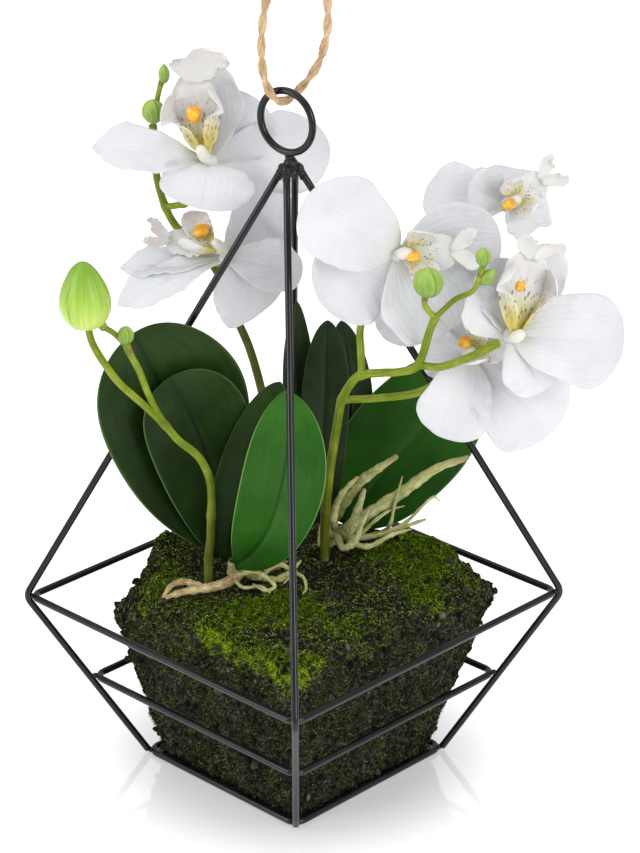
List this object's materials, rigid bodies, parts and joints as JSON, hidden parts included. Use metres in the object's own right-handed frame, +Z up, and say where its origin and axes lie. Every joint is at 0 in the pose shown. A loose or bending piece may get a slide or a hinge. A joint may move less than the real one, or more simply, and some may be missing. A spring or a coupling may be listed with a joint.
{
  "type": "moth orchid in hanging basket",
  "caption": "Moth orchid with white blooms on arching spikes, growing from a mossy soil block in a geometric black wire basket that hangs by a ring from a loop of jute rope.",
  "frame": {"origin": "middle of the tray's underside, where the basket stands on a surface", "axes": "+Z up through the hanging ring; the basket's square hoops have their sides along X and Y, its front corner wire points between +X and -Y and its right one between +X and +Y"},
  "size_m": [0.2089, 0.1782, 0.4024],
  "materials": {
    "wire": "satin black",
    "tray": "gloss black",
    "rope": "rough golden jute",
    "soil": "dark crumb with green moss",
    "leaf": "satin dark green",
    "stem": "satin yellow-green",
    "bud": "satin lime green",
    "root": "matte beige-green",
    "petal": "matte white",
    "lip": "matte cream, yellow and orange"
  },
  "bodies": {
    "root": {"corner_wire_front": "wire", "corner_wire_back": "wire", "corner_wire_left": "wire", "corner_wire_right": "wire", "waist_hoop": "wire", "lower_hoop": "wire", "base_hoop": "wire", "base_tray": "tray", "crown_joint": "wire", "hanging_ring": "wire", "rope_loop": "rope", "rope_knot": "rope", "soil_block": "soil", "flower_spike_back": "stem", "flower_spike_right": "stem", "flower_spike_front": "stem", "big_bud": "bud", "crown_left": "root", "crown_right": "root", "leaf_big_left": "leaf", "leaf_inner_left": "leaf", "leaf_middle_left": "leaf", "leaf_front": "leaf", "leaf_back_narrow": "leaf", "leaf_back_middle": "leaf", "leaf_back_right": "leaf", "leaf_big_right": "leaf", "bloom_top_left": "petal", "lip_top_left": "lip", "bloom_low_left": "petal", "lip_low_left": "lip", "bloom_middle": "petal", "lip_middle": "lip", "bloom_top_right": "petal", "lip_top_right": "lip", "bloom_far_right": "petal", "lip_far_right": "lip", "bloom_low_right": "petal", "lip_low_right": "lip"}
  },
  "joints": []
}
